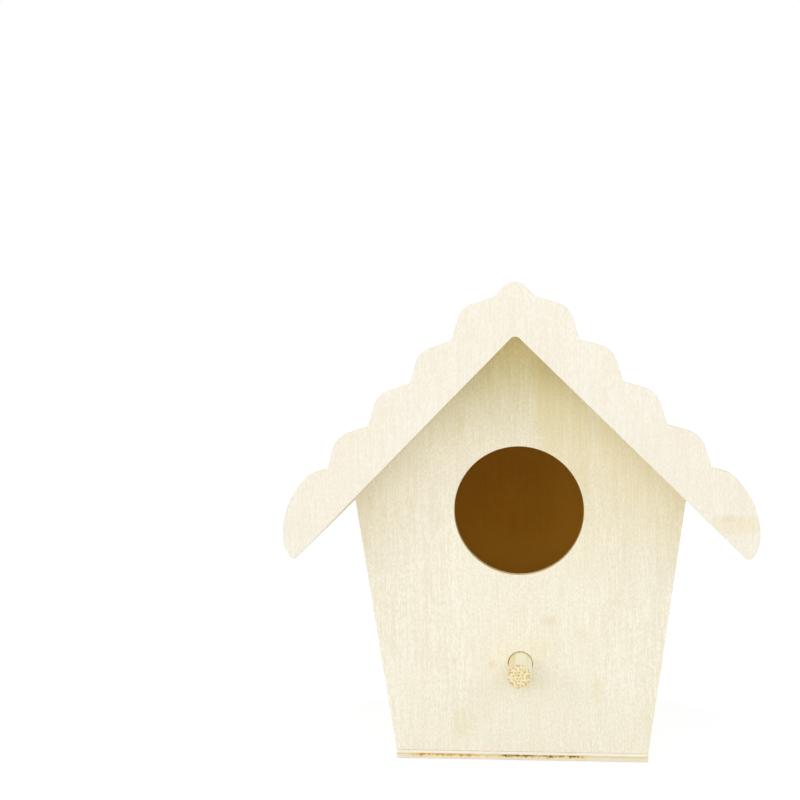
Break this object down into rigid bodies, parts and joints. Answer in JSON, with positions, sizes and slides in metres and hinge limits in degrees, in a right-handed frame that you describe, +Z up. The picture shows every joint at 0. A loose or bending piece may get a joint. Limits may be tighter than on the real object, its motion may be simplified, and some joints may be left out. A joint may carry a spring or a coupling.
{
  "type": "hanging birdhouse",
  "caption": "Plywood birdhouse with a steep roof, a scalloped gable trim, a round entrance and a bamboo perch.",
  "frame": {"origin": "middle of the overall width and depth, at the underside of the floor", "axes": "+Z up, -Y towards the front with the entrance, +X to the right seen from the front"},
  "size_m": [0.1572, 0.123, 0.167],
  "materials": {
    "wall_plywood": "raw, sanded",
    "floor_plywood": "raw, sanded",
    "roof_plywood": "raw, sanded",
    "trim_plywood": "raw, sanded",
    "bamboo": "raw, smooth"
  },
  "bodies": {
    "root": {"floor_panel": "floor_plywood", "front_wall": "wall_plywood", "back_wall": "wall_plywood", "left_side_wall": "wall_plywood", "right_side_wall": "wall_plywood", "left_roof_panel": "roof_plywood", "right_roof_panel": "roof_plywood", "scalloped_fascia": "trim_plywood", "perch": "bamboo"}
  },
  "joints": []
}
